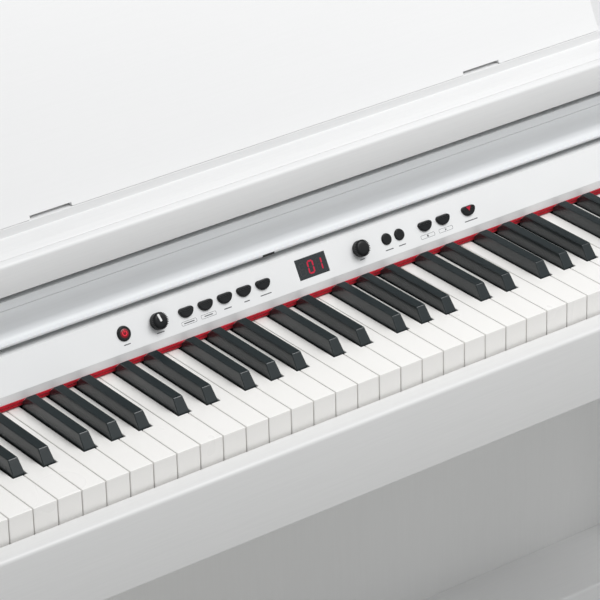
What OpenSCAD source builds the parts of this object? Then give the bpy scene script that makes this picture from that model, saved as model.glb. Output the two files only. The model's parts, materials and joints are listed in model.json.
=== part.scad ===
// Digital piano on its stand: an 88-key console cabinet with three pedals.
// Frame: origin on the floor under the middle of the cabinet, +X to the player's right,
// +Y towards the back, +Z up. Every length is in millimetres.

/* [Keyboard] */
// Pitch of the white keys
white_pitch = 23.5; // [22:0.1:24.5]
// Gap between two white keys
key_gap = 0.8; // [0.6:0.1:1.4]
// Air between each end key and the block beside it
end_air = 1; // [0.6:0.1:1.4]
// Visible length of a white key, from its front to the red felt
white_len = 148; // [138:1:156]
// Height of a white key's body
white_h = 16; // [14:0.5:18]
// Height of a white key's front skirt
skirt_h = 25; // [20:0.5:26]
// Visible length of a black key
black_len = 89; // [80:1:93]
// Width of a black key at the level of the white keys
black_w = 11.5; // [10:0.5:12]
// Width of a black key's flat top
black_top_w = 9.5; // [8:0.5:10]
// Height of a black key above the white keys
black_rise = 12; // [10:0.5:14]
// Air on each side of a black key
black_gap = 1.2; // [0.8:0.1:1.6]
// Distance from a white key's front to its pivot
pivot_back = 230; // [210:1:245]
// Radius of the rod that the keys turn on
rod_r = 2; // [1.5:0.1:3]

/* [Cabinet] */
// Height of the white keys above the floor
key_height = 730; // [640:5:880]
// Depth of the whole cabinet over its feet
case_d = 480; // [440:5:580]
// Thickness of the two side boards
side_t = 24; // [18:1:30]
// Width of each block beside the keys
cheek_w = 52; // [40:1:70]
// Thickness of the keybed
keybed_t = 18; // [15:1:25]
// Thickness of the back boards
back_t = 12; // [9:1:18]
// Height of the slip under the key fronts
slip_h = 72.5; // [60:0.5:80]
// Thickness of the slip
slip_t = 21; // [18:0.5:24]
// Height of the top board's front edge above the white keys
top_rise = 124; // [120:1:150]
// Thickness of the top board's front edge
top_edge_h = 29.2; // [24:0.2:32]
// Height of each foot runner with its glides
foot_h = 60; // [50:1:90]
// Width of each foot runner
foot_w = 46; // [36:1:60]
// Side of the square front legs
leg_w = 42; // [32:1:50]
// Height of the glides under the feet
glide_h = 5; // [3:0.5:10]

/* [Control panel] */
// Slope of the control panel from the horizontal
panel_angle = 60.5; // [55:0.5:65]
// Length of the control panel along its slope
panel_len = 32.3; // [30:0.1:36]
// Height of the panel's front lip
lip_h = 8; // [4:0.5:8.5]
// Wall of the panel moulding
panel_wall = 3; // [2.5:0.1:4]
// Radius of the power button
power_r = 6.6; // [5:0.1:8]
// Radius of the volume and data knobs
knob_r = 7.6; // [6:0.1:9]
// Height of the volume and data knobs
knob_h = 7; // [5:0.5:10]
// Width of the half-moon buttons
moon_w = 15.4; // [12:0.1:16]
// Height of the half-moon buttons
moon_h = 8.8; // [8:0.1:12]
// Radius of a half-moon button's upper corners
moon_corner = 3; // [1:0.1:4]
// Radius of the two small round buttons
small_r = 5.2; // [4:0.1:6]
// How far a half-moon button stands out of the panel
button_out = 2.4; // [1.6:0.1:4]
// How far a round button stands out of the panel
round_out = 1.6; // [1.3:0.1:3]
// Travel of a button
button_travel = 1.2; // [0.8:0.1:1.6]
// Width of the display window
window_w = 32.6; // [28:0.1:40]
// Height of the display window
window_h = 18.4; // [14:0.1:20]

/* [Fallboard and music rest] */
// Slope of the fallboard's rails
rail_angle = 7; // [5:0.5:7.5]
// Travel of the fallboard along its rails
cover_travel = 185; // [160:1:190]
// Thickness of the fallboard's sheet
cover_t = 12; // [9:0.5:13]
// Depth of the fallboard's sheet
cover_d = 202; // [190:1:210]
// Width of the music rest
rest_w = 760; // [600:5:1000]
// Height of the music rest
rest_h = 200; // [160:5:240]
// Thickness of the music rest
rest_t = 12; // [9:1:15]
// Lean of the raised music rest from the vertical
rest_lean = 25; // [15:1:35]
// Distance of each music-rest hinge from the middle
rest_hinge_x = 237; // [200:1:260]
// Length of each music-rest hinge
rest_hinge_len = 40; // [30:1:60]

/* [Pedals] */
// Distance between two pedals
pedal_pitch = 75; // [65:1:90]
// Length of a pedal from its tip to its pivot
pedal_len = 150; // [130:1:160]
// Width of a pedal's foot plate
pedal_w = 30; // [24:1:36]
// Thickness of a pedal
pedal_t = 8; // [6:0.5:10]
// Radius of the pedals' pivot pin
pin_r = 4; // [3:0.5:6]

/* [Hidden] */
$fn = 48;

// Colours
white_paint = "#f4f4f2";
white_key_colour = "#f7f7f4";
black_plastic = "#23282a";
steel = "#b8bcc0";
board_green = "#2f6b45";

// Clearances
fit = 0.3;      // between moving pieces and their holes
run = 0.05;     // running fit, radial
seat = 0.3;     // between pieces that rest on each other
eps = 1;        // extra reach of a cut past a face

// Width of the keyboard and the cabinet
white_count = 52;
keyboard_w = white_count * white_pitch;
inner_half = keyboard_w / 2 + end_air + cheek_w;
outer_half = inner_half + side_t;

// Front to back
front_y = -case_d / 2;
back_y = case_d / 2;
slip_setback = 12;
slip_y = front_y + slip_setback;
slip_gap = 3;
key_front_y = slip_y + slip_t + slip_gap;
black_setback = 52;
black_front_y = key_front_y + black_setback;
black_back_y = black_front_y + black_len;
felt_y = key_front_y + white_len;
felt_proud = 2;
felt_air = 0.6;
lip_y = felt_y + felt_proud;
pivot_y = key_front_y + pivot_back;
tail_end_y = pivot_y + 12;

// Heights
top_z = key_height + top_rise;
top_under_z = top_z - top_edge_h;
slip_drop = 21.5;
slip_top_z = key_height - slip_drop;
keybed_under_z = slip_top_z - slip_h;
keybed_top_z = keybed_under_z + keybed_t;
key_under_z = key_height - white_h;
lip_z = key_height + 6;

// Control panel
panel_low = [lip_y, lip_z + lip_h];
panel_high = panel_low + panel_len * [cos(panel_angle), sin(panel_angle)];
panel_mid = (panel_low + panel_high) / 2;
panel_ledge_y = pivot_y - 16;
panel_foot_y = lip_y + 34;
control_under = 6;
switch_gap = 0.4;
switch_h = 2.2;
board_t = 1.6;
board_z = -(control_under + button_travel + switch_gap + switch_h + board_t);

// Controls along the panel, measured from the middle
power_x = -202.3;
volume_x = -167.3;
mode_pitch = 20.75;
mode_x = [for (i = [0:4]) -137 + i * mode_pitch];
window_x = 0.8;
data_x = 53.9;
function_x = 84.9;
select_x = 99.6;
record_x = 129.1;
play_x = 150.1;
piano_x = 180;
moon_drop = 0.9;
knob_lift = 0.5;
knob_shaft_r = 3;

// Fallboard: a line that rises towards the back under the top board
cover_front_y = lip_y + 23;
cover_clear = 2.27;
cover_half = inner_half - 8;
slope = [cos(rail_angle), sin(rail_angle)];
cover_front_z = top_under_z - cover_clear - cover_d * slope.y - cover_t * slope.x;
cover_rear = [cover_front_y, cover_front_z] + cover_d * slope;
cover_pivot_in = 8;
cover_pivot = cover_rear - cover_pivot_in * slope + cover_t / 2 * [-sin(rail_angle), cos(rail_angle)];
cover_pin_r = 2;
roller_r = 5;
rail_t = 4;
rail_h = 20;
arm_t = 3;

// Music rest
ledge_z = top_z + 3;
riser_h = 8.5;
riser_y = lip_y + 57;
riser_t = 11;
rest_under_z = ledge_z + riser_h + seat;
rest_thick_y = rest_t / cos(rest_lean);
rest_pivot = [riser_y + rest_thick_y + 2.6, rest_under_z + 0.2];
rest_knuckle_r = 2.2;
rest_notch_h = 3;

// Stand
leg_inner = outer_half - leg_w;
foot_inner = outer_half - foot_w;
side_leg_d = 150;
lower_panel_y = back_y - 28;
glide_r = 15;
glide_inset = 34;

// Pedals
pedal_box_z = foot_h;
pedal_box_h = 90;
pedal_box_front = lower_panel_y - 94;
pedal_wall = 15;
pedal_pivot = [pedal_box_front + 57, pedal_box_z + 40];
pedal_tip_y = pedal_pivot.x - pedal_len;
pedal_neck_w = 15;
pedal_ear_t = 6;
pedal_ear_x = pedal_pitch + pedal_w;
slot_w = pedal_neck_w + 6;
slot_h = 34;

// Speakers
speaker_x = 430;
speaker_r = 55;
speaker_flange = 8;
speaker_y = tail_end_y + 22 + speaker_r + speaker_flange;
grille_t = 1.5;

// Connectors
jack_r = 3.25;
jack_len = 18;
jack_box_x = -outer_half + 100;
jack_box = [70, 32, 20];
jack_pitch = 34;
inlet_r = 2.8;
inlet_len = 10;
inlet_x = -400;
inlet_z = keybed_top_z + 60;

// Screws of the upper back panel
screw_r = 1.9;
screw_head_r = 4;
screw_head_h = 2.2;
screw_xs = [for (i = [-3:3]) i * 200];
screw_inset = 14;

// Unit vector along v
function unit(v) = v / norm(v);

// Points of the arc that rounds corner b, between a and c, to radius r
function arc(a, b, c, r, n = 6) =
    let (u = unit(a - b), v = unit(c - b), half = acos(u * v) / 2)
    let (centre = b + unit(u + v) * r / sin(half), p = b + u * r / tan(half), q = b + v * r / tan(half))
    let (start = atan2(p.y - centre.y, p.x - centre.x))
    let (turn = atan2(q.y - centre.y, q.x - centre.x) - start)
    let (sweep = turn > 180 ? turn - 360 : turn < -180 ? turn + 360 : turn)
    [for (i = [0:n]) centre + r * [cos(start + sweep * i / n), sin(start + sweep * i / n)]];

// An outline of corners [y, z, radius], each rounded where its radius is over 0
function rounded(corners) =
    let (n = len(corners))
    [for (i = [0:n - 1])
        let (a = corners[(i + n - 1) % n], b = corners[i], c = corners[(i + 1) % n])
        each b.z > 0 ? arc([a.x, a.y], [b.x, b.y], [c.x, c.y], b.z) : [[b.x, b.y]]];

// A profile in Y and Z drawn from x0 to x1
module along_x(x0, x1, points) {
    translate([x0, 0, 0])
        rotate([90, 0, 90])
            linear_extrude(x1 - x0) polygon(points);
}

// A cylinder along X
module rod_x(x0, x1, y, z, r) {
    translate([x0, y, z]) rotate([0, 90, 0]) cylinder(h = x1 - x0, r = r);
}

// A box between two corners
module block(low, high) {
    translate(low) cube(high - low);
}

// Left and right copies
module both_sides() {
    children();
    mirror([1, 0, 0]) children();
}

// Places its children on the control panel: X across, Y up the slope, Z out of it
module on_panel(x, up = 0, out = 0) {
    translate([0, panel_mid.x, panel_mid.y])
        rotate([panel_angle, 0, 0])
            translate([x, up, out]) children();
}

// ---- Keys ----

// Number of white keys below a pitch class within its octave, from C
octave_whites = [0, 0, 1, 1, 2, 3, 3, 4, 4, 5, 5, 6];
black_classes = [1, 3, 6, 8, 10];
// How far each black key stands from the joint of its white neighbours
black_offsets = [0, -3, 0, 3, 0, 0, -4, 0, 0, 0, 4, 0];
first_class = 9;
note_count = 88;

function pitch_class(note) = (note + first_class) % 12;
function is_black(class) = len(search(class, black_classes)) > 0;
function white_index(note) =
    7 * floor((note + first_class) / 12) + octave_whites[pitch_class(note)] - 5;
function joint_x(index) = index * white_pitch - keyboard_w / 2;
function black_x(note) =
    joint_x(white_index(note) + 1) + black_offsets[pitch_class(note)];

// Whether a note next to a white key is a black key that exists
function black_at(note) = note > 0 && note < note_count && is_black(pitch_class(note));

// A white key's outline in plan, with its cut-outs for the black keys beside it
function white_plan(note) =
    let (index = white_index(note))
    let (x0 = joint_x(index) + key_gap / 2, x1 = joint_x(index + 1) - key_gap / 2)
    let (half = black_w / 2 + black_gap, cut_y = black_front_y - black_gap)
    let (left = black_at(note - 1), right = black_at(note + 1))
    let (xl = left ? black_x(note - 1) + half : x0, xr = right ? black_x(note + 1) - half : x1)
    concat(
        [[x0, key_front_y], [x1, key_front_y]],
        right ? [[x1, cut_y], [xr, cut_y]] : [],
        [[xr, tail_end_y], [xl, tail_end_y]],
        left ? [[xl, cut_y], [x0, cut_y]] : []);

module white_key(note) {
    index = white_index(note);
    skirt_d = 12;
    difference() {
        union() {
            translate([0, 0, key_under_z]) linear_extrude(white_h) polygon(white_plan(note));
            block([joint_x(index) + key_gap / 2, key_front_y, key_height - skirt_h],
                [joint_x(index + 1) - key_gap / 2, key_front_y + skirt_d, key_height]);
        }
        rod_x(joint_x(index) - eps, joint_x(index + 1) + eps, pivot_y, key_under_z, rod_r + run);
    }
}

module black_key(note) {
    x = black_x(note);
    foot_z = key_under_z;
    back_drop = 3;
    front_lean = 9;
    side = [
        [black_front_y, foot_z],
        [black_front_y, key_height],
        [black_front_y + front_lean, key_height + black_rise],
        [black_back_y, key_height + black_rise],
        [felt_y - felt_air, key_height + black_rise - (felt_y - felt_air - black_back_y)],
        [felt_y - felt_air, key_height - back_drop],
        [tail_end_y, key_height - back_drop],
        [tail_end_y, foot_z]
    ];
    section = [
        [-black_w / 2, foot_z],
        [black_w / 2, foot_z],
        [black_w / 2, key_height],
        [black_top_w / 2, key_height + black_rise],
        [-black_top_w / 2, key_height + black_rise],
        [-black_w / 2, key_height]
    ];
    difference() {
        intersection() {
            along_x(x - black_w, x + black_w, side);
            translate([x, tail_end_y, 0]) rotate([90, 0, 0])
                linear_extrude(tail_end_y - black_front_y) polygon(section);
        }
        rod_x(x - black_w, x + black_w, pivot_y, key_under_z, rod_r + run);
    }
}

// All keys of one pitch class
module keys(class) {
    for (note = [0:note_count - 1])
        if (pitch_class(note) == class)
            color(is_black(class) ? black_plastic : white_key_colour)
                if (is_black(class)) black_key(note); else white_key(note);
}

// ---- Key action ----

// Moulded bed that carries the pivot rod and stops the keys
module key_chassis() {
    base_t = 4;
    front_rail_d = 24;
    rail_d = 20;
    stop_z = key_height - skirt_h - 12;
    rail_top = key_under_z - 0.8;
    profile = [
        [key_front_y + 14, keybed_top_z],
        [tail_end_y + 14, keybed_top_z],
        [tail_end_y + 14, keybed_top_z + base_t],
        [pivot_y + rail_d / 2, keybed_top_z + base_t],
        [pivot_y + rail_d / 2, rail_top],
        [pivot_y - rail_d / 2, rail_top],
        [pivot_y - rail_d / 2, keybed_top_z + base_t],
        [key_front_y + 14 + front_rail_d, keybed_top_z + base_t],
        [key_front_y + 14 + front_rail_d, stop_z],
        [key_front_y + 14, stop_z]
    ];
    color("#3a3d40") difference() {
        along_x(-keyboard_w / 2, keyboard_w / 2, profile);
        rod_x(-keyboard_w / 2 - eps, keyboard_w / 2 + eps, pivot_y, key_under_z, rod_r + run);
    }
}

module key_pivot_rod() {
    color(steel) rod_x(-keyboard_w / 2, keyboard_w / 2, pivot_y, key_under_z, rod_r);
}

// Red felt under the panel's lip, just above the keys
module key_felt_strip() {
    felt_d = 20;
    over_keys = 0.8;
    color("#b8101c") along_x(-keyboard_w / 2, keyboard_w / 2, rounded([
        [felt_y, key_height + over_keys, 0],
        [felt_y + felt_d, key_height + over_keys, 0],
        [felt_y + felt_d, lip_z, 0],
        [felt_y + 1, lip_z, 0],
        [felt_y, lip_z - 1, 0]
    ]));
}

// ---- Cabinet ----

module keybed() {
    color(white_paint) difference() {
        block([-inner_half, slip_y + slip_t, keybed_under_z],
            [inner_half, back_y - back_t, keybed_top_z]);
        both_sides() translate([speaker_x, speaker_y, keybed_under_z - eps])
            cylinder(h = keybed_t + 2 * eps, r = speaker_r);
    }
}

module key_slip() {
    nose = 4;
    color(white_paint) along_x(-inner_half, inner_half, rounded([
        [slip_y, keybed_under_z, 1.5],
        [slip_y + slip_t, keybed_under_z, 0],
        [slip_y + slip_t, slip_top_z, 1],
        [slip_y, slip_top_z, nose]
    ]));
}

module cheek_blocks() {
    over_keys = 4;
    color(white_paint) both_sides() along_x(keyboard_w / 2 + end_air, inner_half, rounded([
        [key_front_y, keybed_top_z, 0],
        [felt_y, keybed_top_z, 0],
        [felt_y, key_height + over_keys, 0],
        [key_front_y, key_height + over_keys, 3]
    ]));
}

// Side board: an arm beside the keys, a leg under the back, and the end of the case
module side_panel() {
    arm_front = slip_y - 4;
    arm_top_z = key_height + 30;
    shoulder_y = lip_y - 60;
    color(white_paint) along_x(inner_half, outer_half, rounded([
        [arm_front, keybed_under_z, 8],
        [back_y - side_leg_d, keybed_under_z, 60],
        [back_y - side_leg_d, foot_h, 0],
        [back_y, foot_h, 0],
        [back_y, top_under_z, 0],
        [lip_y + 22, top_under_z, 0],
        [shoulder_y, arm_top_z, 60],
        [arm_front, arm_top_z, 14]
    ]));
}

module front_leg() {
    y0 = slip_y + 4;
    color(white_paint)
        translate([leg_inner, y0, foot_h])
            linear_extrude(keybed_under_z - foot_h)
                polygon(rounded([[0, 0, 3], [leg_w, 0, 3], [leg_w, leg_w, 3], [0, leg_w, 3]]));
}

module foot() {
    toe_h = 34;
    toe_run = 12;
    color(white_paint) along_x(foot_inner, outer_half, rounded([
        [front_y, glide_h, 4],
        [back_y, glide_h, 4],
        [back_y, foot_h, 0],
        [front_y + toe_run, foot_h, 0],
        [front_y, toe_h, 6]
    ]));
}

module foot_glides() {
    color("#2b2b2b") both_sides()
        for (y = [front_y + glide_inset, back_y - glide_inset])
            translate([(foot_inner + outer_half) / 2, y, 0]) cylinder(h = glide_h, r = glide_r);
}

module lower_back_panel() {
    behind_box = 30;
    color(white_paint) block([-inner_half, lower_panel_y, pedal_box_z + behind_box],
        [inner_half, lower_panel_y + back_t, keybed_under_z]);
}

module upper_back_panel() {
    color(white_paint) difference() {
        block([-inner_half, back_y - back_t, keybed_under_z], [inner_half, back_y, top_under_z]);
        back_screw_places() union() {
            translate([0, 0, -eps]) cylinder(h = back_t + 2 * eps, r = screw_r + run);
            translate([0, 0, -eps]) cylinder(h = screw_head_h + eps, r = screw_head_r + run);
        }
        translate([inlet_x, back_y - back_t - eps, inlet_z]) rotate([-90, 0, 0])
            cylinder(h = back_t + 2 * eps, r = inlet_r + 6);
    }
}

// Top board with its moulded front edge, a ledge for books and a riser for the music rest
module top_board() {
    front = lip_y + 18;
    groove_y = front + 9;
    groove = 1.2;
    bevel_d = 6.3;
    color(white_paint) along_x(-outer_half, outer_half, rounded([
        [front + 0.6, top_under_z, 0.8],
        [back_y, top_under_z, 0],
        [back_y, ledge_z, 2],
        [riser_y + riser_t, ledge_z, 0],
        [riser_y + riser_t, ledge_z + riser_h, 0],
        [riser_y, ledge_z + riser_h, 0.6],
        [riser_y, ledge_z, 0],
        [groove_y + groove + bevel_d, ledge_z, 1],
        [groove_y + groove, top_z, 0],
        [groove_y + groove / 2, top_z - groove, 0],
        [groove_y, top_z, 0.4],
        [front + 0.9, top_z, 4],
        [front, top_z - 15.6, 0]
    ]));
}

// ---- Control panel ----

// Half-moon outline: flat upper edge with round corners, round lower edge
module moon(grow = 0) {
    r = moon_w / 2;
    half = r + grow;
    top = moon_h / 2 + grow;
    translate([0, -moon_drop]) intersection() {
        translate([0, r - moon_h / 2]) circle(r = half);
        polygon(rounded([
            [-half, -half, 0],
            [half, -half, 0],
            [half, top, moon_corner + grow],
            [-half, top, moon_corner + grow]
        ]));
    }
}

// Places of the panel board's standoffs, clear of every control
standoff_xs = [-214, -184, -32, 34, 70, 113, 165, 205];

module control_panel() {
    shell = [
        [lip_y, lip_z],
        panel_low,
        panel_high,
        [panel_ledge_y, panel_high.y],
        [panel_ledge_y, panel_high.y - panel_wall],
        panel_high + [panel_wall * tan(panel_angle / 2), -panel_wall],
        panel_low + [panel_wall, -panel_wall * tan((90 - panel_angle) / 2)],
        [lip_y + panel_wall, lip_z + panel_wall],
        [panel_foot_y, lip_z + panel_wall],
        [panel_foot_y, lip_z]
    ];
    color(white_paint) union() {
        difference() {
            along_x(-inner_half, inner_half, shell);
            panel_holes();
        }
        for (x = standoff_xs)
            on_panel(x, 0, board_z + board_t) cylinder(h = -board_z - board_t - panel_wall / 2, r = 2.5);
    }
}

module panel_holes() {
    depth = panel_wall + 2 * eps;
    on_panel(power_x, 0, -depth + eps) cylinder(h = depth, r = power_r + fit);
    for (x = [volume_x, data_x])
        on_panel(x, 0, -depth + eps) cylinder(h = depth, r = knob_shaft_r + 2 * fit);
    for (x = concat(mode_x, [record_x, play_x, piano_x]))
        on_panel(x, 0, -depth + eps) linear_extrude(depth) moon(fit);
    for (x = [function_x, select_x])
        on_panel(x, 0, -depth + eps) cylinder(h = depth, r = small_r + fit);
    on_panel(window_x, 0, -depth / 2 + eps)
        cube([window_w + 2 * fit, window_h + 2 * fit, depth + eps], center = true);
}

// A pushed control: its cap, and a stem that ends just over its switch
module round_button(x, r) {
    color(black_plastic) on_panel(x, 0, -control_under)
        cylinder(h = control_under + round_out, r = r);
}

module moon_button(x) {
    color(black_plastic) on_panel(x, 0, -control_under)
        linear_extrude(control_under + button_out) moon();
}

// A knob with a rounded shoulder on its shaft
module knob(x) {
    shaft_end = board_z + board_t + switch_h + seat;
    shoulder = 3;
    color(black_plastic) union() {
        on_panel(x, 0, knob_lift) rotate_extrude()
            polygon(rounded([[0, 0, 0], [knob_r, 0, 0], [knob_r, knob_h, shoulder], [0, knob_h, 0]]));
        on_panel(x, 0, shaft_end) cylinder(h = knob_lift - shaft_end + 1, r = knob_shaft_r);
    }
}

module display_window() {
    color([0.1, 0.02, 0.02, 0.8]) on_panel(window_x, 0, -1.3)
        cube([window_w, window_h, 2], center = true);
}

module display_module() {
    module_top = -2.6;
    low = board_z + board_t;
    color("#15171a") on_panel(window_x, 0, (module_top + low) / 2)
        cube([window_w - 2, window_h - 2, module_top - low], center = true);
}

// Panel board behind the controls, the main board and the power supply board
module circuit_boards() {
    board_half = 218;
    board_h = 25;
    switch_z = board_z + board_t;
    color(board_green) union() {
        on_panel(0, 0, board_z + board_t / 2)
            cube([2 * board_half, board_h, board_t], center = true);
        for (x = concat([power_x], mode_x, [function_x, select_x, record_x, play_x, piano_x]))
            on_panel(x, 0, switch_z + switch_h / 2) cube([6, 6, switch_h], center = true);
        for (x = [volume_x, data_x])
            on_panel(x, 0, switch_z + switch_h / 2) cube([12, 12, switch_h], center = true);
    }
    color(board_green) for (place = [[-200, 210], [150, 120]]) {
        block([place.x, speaker_y - 40, keybed_top_z + 6],
            [place.x + place.y, speaker_y + 50, keybed_top_z + 6 + board_t]);
        for (dx = [8, place.y - 8])
            for (dy = [-32, 42])
                translate([place.x + dx, speaker_y + dy, keybed_top_z]) cylinder(h = 6, r = 3);
    }
}

// ---- Fallboard ----

// Line of the fallboard's underside at Y, and its upper side
function cover_under(y) = cover_front_z + (y - cover_front_y) * tan(rail_angle);
function cover_upper(y) = cover_under(y) + cover_t / cos(rail_angle);

module fallboard() {
    lip_front = lip_y + 16.5;
    lip_low = key_height + 49;
    cove_top = key_height + 59.7;
    band_y = lip_front + 5.5;
    lip_top = key_height + 88.6;
    hollow_y = band_y + 2.5;
    lip_inner = band_y + 6.5;
    lip_back = band_y + 12;
    groove_z = key_height + 80;
    steps = 6;
    nose = 1.7;
    cove = [for (i = [0:steps])
        let (a = 90 * i / steps)
        [hollow_y - (hollow_y - lip_front) * (1 - sin(a)), lip_low + nose + (cove_top - lip_low - nose) * (1 - cos(a))]];
    color(white_paint) difference() {
        along_x(-cover_half, cover_half, concat(
            [[lip_front, lip_low]],
            cove,
            [
                [band_y, key_height + 70],
                [band_y, groove_z],
                [band_y + 1.4, groove_z],
                [band_y + 1.4, groove_z + 0.5],
                [band_y, groove_z + 0.5],
                [band_y, lip_top],
                [lip_back, lip_top],
                [lip_back, cover_upper(lip_back)],
                cover_rear + cover_t * [-sin(rail_angle), cos(rail_angle)],
                cover_rear,
                [lip_inner, cover_under(lip_inner)],
                [lip_inner, lip_low]
            ]));
        both_sides()
            rod_x(cover_half - 10, cover_half + eps, cover_pivot.x, cover_pivot.y, cover_pin_r + run);
    }
}

// Rollers and arms at the fallboard's back corners, joined by a steel bar
module fallboard_carriage() {
    arm_x0 = cover_half + 0.5;
    bar_y = cover_rear.x + 4;
    color(steel) union() {
        both_sides() {
            block([arm_x0, cover_pivot.x - 7, cover_pivot.y - 5],
                [arm_x0 + arm_t, bar_y + 8, cover_pivot.y + 5]);
            rod_x(cover_half - 8, arm_x0 + eps, cover_pivot.x, cover_pivot.y, cover_pin_r);
            rod_x(arm_x0 + arm_t - eps, inner_half - 0.5, cover_pivot.x, cover_pivot.y, roller_r);
        }
        block([-arm_x0 - eps, bar_y, cover_pivot.y - 5], [arm_x0 + eps, bar_y + 8, cover_pivot.y + 1]);
    }
}

module fallboard_rails() {
    slack = roller_r + fit;
    end = 8;
    color(steel) both_sides() intersection() {
        translate([inner_half - rail_t, cover_pivot.x, cover_pivot.y]) rotate([rail_angle, 0, 0])
            difference() {
                translate([0, -cover_travel - slack - end, -rail_h / 2])
                    cube([rail_t, cover_travel + 2 * (slack + end), rail_h]);
                translate([-eps, -cover_travel - slack, -slack])
                    cube([rail_t + 2 * eps, cover_travel + 2 * slack, 2 * slack]);
            }
        block([0, front_y, 0], [outer_half, back_y, top_under_z]);
    }
}

// ---- Music rest ----

module music_rest() {
    lean = rest_h * [sin(rest_lean), cos(rest_lean)];
    foot = [riser_y, rest_under_z];
    back = foot + [rest_thick_y, 0];
    color(white_paint) difference() {
        along_x(-rest_w / 2, rest_w / 2, rounded([
            [foot.x, foot.y, 0],
            [back.x, back.y, 0],
            [back.x + lean.x - rest_t * tan(rest_lean) * sin(rest_lean), back.y + lean.y - rest_t * sin(rest_lean), 3],
            [foot.x + lean.x, foot.y + lean.y, 3]
        ]));
        both_sides() block([rest_hinge_x - rest_hinge_len / 2 - 1, foot.x - eps, foot.y - eps],
            [rest_hinge_x + rest_hinge_len / 2 + 1, back.x + 2 * eps, foot.y + rest_notch_h]);
    }
}

module music_rest_hinges() {
    leaf_y = riser_y + riser_t;
    color(steel) both_sides() union() {
        rod_x(rest_hinge_x - rest_hinge_len / 2, rest_hinge_x + rest_hinge_len / 2,
            rest_pivot.x, rest_pivot.y, rest_knuckle_r);
        block([rest_hinge_x - rest_hinge_len / 2, leaf_y, ledge_z],
            [rest_hinge_x + rest_hinge_len / 2, leaf_y + 1.2, rest_pivot.y]);
        block([rest_hinge_x - rest_hinge_len / 2, leaf_y, rest_pivot.y - 1],
            [rest_hinge_x + rest_hinge_len / 2, rest_pivot.x, rest_pivot.y]);
    }
}

// ---- Pedals ----

module pedal_box() {
    y0 = pedal_box_front;
    y1 = lower_panel_y;
    z0 = pedal_box_z;
    z1 = pedal_box_z + pedal_box_h;
    color(white_paint) difference() {
        union() {
            along_x(-inner_half, inner_half, rounded([
                [y0, z0, 3],
                [y1, z0, 0],
                [y1, z0 + pedal_wall, 0],
                [y0 + pedal_wall, z0 + pedal_wall, 0],
                [y0 + pedal_wall, z1 - pedal_wall, 0],
                [y1, z1 - pedal_wall, 0],
                [y1, z1, 0],
                [y0, z1, 3]
            ]));
            both_sides() block([pedal_ear_x - pedal_ear_t, pedal_pivot.x - 12, z0 + pedal_wall - 1],
                [pedal_ear_x, pedal_pivot.x + 12, pedal_pivot.y + 12]);
        }
        for (i = [-1:1])
            block([i * pedal_pitch - slot_w / 2, y0 - eps, pedal_pivot.y - slot_h / 2 - 3],
                [i * pedal_pitch + slot_w / 2, y0 + pedal_wall + eps, pedal_pivot.y + slot_h / 2 - 3]);
        rod_x(-pedal_ear_x - eps, pedal_ear_x + eps, pedal_pivot.x, pedal_pivot.y, pin_r);
    }
}

module pedal(place) {
    x = place * pedal_pitch;
    plate_d = 72;
    boss_r = pin_r + 5;
    color("#c9a445") difference() {
        union() {
            translate([x, 0, pedal_pivot.y - pedal_t / 2]) linear_extrude(pedal_t) polygon(rounded([
                [-pedal_w / 2, pedal_tip_y, pedal_w * 0.42],
                [pedal_w / 2, pedal_tip_y, pedal_w * 0.42],
                [pedal_w / 2, pedal_tip_y + plate_d * 0.6, 10],
                [pedal_neck_w / 2, pedal_tip_y + plate_d, 10],
                [pedal_neck_w / 2, pedal_pivot.x, 0],
                [-pedal_neck_w / 2, pedal_pivot.x, 0],
                [-pedal_neck_w / 2, pedal_tip_y + plate_d, 10],
                [-pedal_w / 2, pedal_tip_y + plate_d * 0.6, 10]
            ]));
            rod_x(x - pedal_neck_w / 2, x + pedal_neck_w / 2, pedal_pivot.x, pedal_pivot.y, boss_r);
        }
        rod_x(x - pedal_w, x + pedal_w, pedal_pivot.x, pedal_pivot.y, pin_r + run);
    }
}

module pedal_pivot_pin() {
    color(steel) rod_x(-pedal_ear_x, pedal_ear_x, pedal_pivot.x, pedal_pivot.y, pin_r);
}

module pedal_support_screw() {
    pad_h = 8;
    color("#2b2b2b") translate([0, pedal_box_front + 30, 0]) union() {
        cylinder(h = pad_h, r = 16);
        cylinder(h = pedal_box_z, r = 6);
    }
}

// ---- Sound and connectors ----

module speakers() {
    rim_t = 3;
    cone_h = 32;
    magnet_h = 16;
    wall = 2;
    color("#26282b") both_sides() translate([speaker_x, speaker_y, keybed_top_z])
        rotate_extrude() polygon([
            [speaker_r - 6, 0],
            [speaker_r + speaker_flange, 0],
            [speaker_r + speaker_flange, rim_t],
            [speaker_r - 4, rim_t],
            [22, cone_h],
            [34, cone_h],
            [34, cone_h + magnet_h],
            [0, cone_h + magnet_h],
            [0, cone_h - wall],
            [20, cone_h - wall]
        ]);
}

module speaker_grilles() {
    color("#202224") both_sides()
        translate([speaker_x, speaker_y, keybed_under_z - grille_t])
            cylinder(h = grille_t, r = speaker_r + speaker_flange);
}

// Headphone box under the keybed, and the low-voltage power inlet in the back
module connector_panel() {
    color("#202224") difference() {
        translate([jack_box_x - jack_box.x / 2, slip_y + slip_t + 4, keybed_under_z - jack_box.z])
            cube(jack_box);
        for (x = [-jack_pitch / 2, jack_pitch / 2])
            translate([jack_box_x + x, slip_y + slip_t + 4 - eps, keybed_under_z - jack_box.z / 2])
                rotate([-90, 0, 0]) cylinder(h = jack_len + eps, r = jack_r);
    }
    color("#202224") translate([inlet_x, back_y - inlet_len - 4, inlet_z]) rotate([-90, 0, 0])
        difference() {
            cylinder(h = inlet_len + 4, r = inlet_r + 6);
            translate([0, 0, 4]) cylinder(h = inlet_len + eps, r = inlet_r);
        }
}

module back_screw_places() {
    for (x = screw_xs)
        for (z = [keybed_under_z + keybed_t / 2, top_under_z - screw_inset])
            translate([x, back_y, z]) rotate([90, 0, 0]) children();
}

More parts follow.
